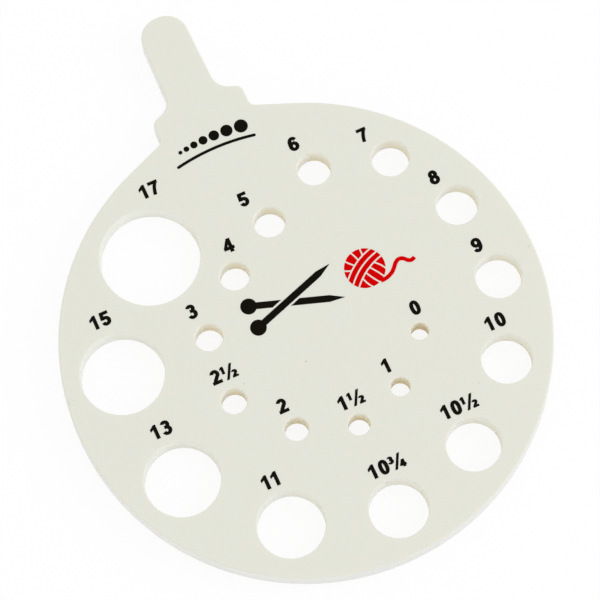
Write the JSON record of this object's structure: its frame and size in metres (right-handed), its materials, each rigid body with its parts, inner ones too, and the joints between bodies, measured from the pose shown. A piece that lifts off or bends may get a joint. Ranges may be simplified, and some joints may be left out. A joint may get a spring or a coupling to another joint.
{
  "type": "knitting needle gauge",
  "caption": "Flat moulded gauge for knitting needles: a round plate with a spiral of graded holes, a stepped neck and a rounded tongue.",
  "frame": {"origin": "centre of the disc, on the plate's flat back", "axes": "+Z out of the printed front, +Y along the tongue from the disc's centre, +X to the right of it"},
  "size_m": [0.0592, 0.0743, 0.003],
  "materials": {
    "off_white_plastic": "satin",
    "black_ink": "matte",
    "red_ink": "matte"
  },
  "bodies": {
    "root": {"gauge_plate": "off_white_plastic"}
  },
  "joints": []
}
